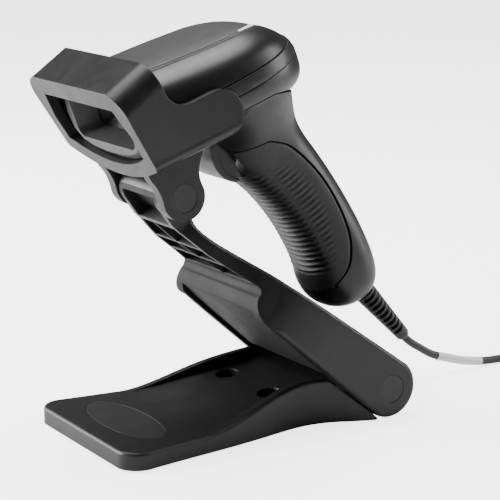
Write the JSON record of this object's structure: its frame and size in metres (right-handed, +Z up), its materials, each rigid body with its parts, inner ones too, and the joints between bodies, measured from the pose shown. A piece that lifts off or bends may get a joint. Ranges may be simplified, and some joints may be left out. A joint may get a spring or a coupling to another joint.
{
  "type": "handheld barcode scanner with folding stand",
  "caption": "Pistol-grip barcode scanner held in the open cradle of a folding hinged desk stand, with rubber grip, trigger, strain-relief boot and cord.",
  "frame": {"origin": "middle of the base's footprint, on the desk", "axes": "+Z up, +X across the width, the scan window looks towards -Y and the cord leaves towards +Y"},
  "size_m": [0.0848, 0.3211, 0.1779],
  "materials": {
    "stand_plastic": "fine grain",
    "badge": "smooth satin",
    "steel": "plain",
    "rubber": "matt",
    "cap_plastic": "satin",
    "washer_plastic": "smooth",
    "casing_plastic": "fine grain",
    "panel_plastic": "satin gloss",
    "band_plastic": "satin",
    "light_plastic": "translucent white",
    "clear_window": "tinted clear",
    "board": "solder mask",
    "part_black": "plain",
    "lens_glass": "clear",
    "led": "clear",
    "cable": "satin",
    "label_white": "plain, no print"
  },
  "bodies": {
    "base": {"base_shell": "stand_plastic", "badge_plate": "badge", "bottom_cover": "stand_plastic", "base_weight": "steel", "cover_screws": "steel", "rubber_feet": "rubber"},
    "arm": {"arm_shell": "stand_plastic", "arm_cover": "stand_plastic", "lower_pin": "steel", "lower_hinge_caps": "cap_plastic", "lower_washers": "washer_plastic"},
    "cradle": {"cradle": "stand_plastic", "upper_pin": "steel", "upper_hinge_caps": "cap_plastic", "upper_washers": "washer_plastic"},
    "scanner": {"top_shell": "casing_plastic", "middle_band": "band_plastic", "lower_shell": "casing_plastic", "top_panel": "panel_plastic", "status_light_guide": "light_plastic", "handle_shell": "casing_plastic", "rubber_grip": "rubber", "nose_bezel": "casing_plastic", "scan_window": "clear_window", "scan_engine": "part_black", "imager_lens": "lens_glass", "aimer_lens": "lens_glass", "illumination_leds": "led", "engine_bracket": "steel", "main_board": "board", "shield_can": "steel", "beeper": "part_black", "status_led": "led", "trigger_board": "board", "trigger_switch": "part_black", "trigger_pin": "steel", "trigger_spring": "steel", "cord_boot": "rubber", "cord_lead": "cable"},
    "trigger": {"trigger": "band_plastic"},
    "cord_end": {"cord": "cable", "cord_sleeve": "label_white", "usb_plug": "part_black", "plug_shell": "steel"}
  },
  "joints": [
    {"name": "arm_hinge", "type": "hinge", "parent": "base", "child": "arm", "pos_m": [0, 0.0608, 0.0142], "axis": [1, 0, 0], "range_deg": [-25, 0]},
    {"name": "cradle_tilt", "type": "hinge", "parent": "arm", "child": "cradle", "pos_m": [0, -0.0351, 0.10851], "axis": [1, 0, 0], "range_deg": [-3, 40]},
    {"name": "scanner_lift", "type": "slide", "parent": "cradle", "child": "scanner", "axis": [0, 0.9397, 0.342], "range_m": [0, 0.13]},
    {"name": "trigger_pull", "type": "hinge", "parent": "scanner", "child": "trigger", "pos_m": [0, -0.00537, 0.13209], "axis": [1, 0, 0], "range_deg": [0, 7], "stiffness_Nm_per_rad": 0.05},
    {"name": "cord_swing", "type": "hinge", "parent": "scanner", "child": "cord_end", "pos_m": [0, 0.0608, 0.0142], "axis": [1, 0, 0], "range_deg": [0, 25]}
  ],
  "couplings": [
    {"joint": "cord_swing", "follows": "arm_hinge", "ratio": -1}
  ]
}
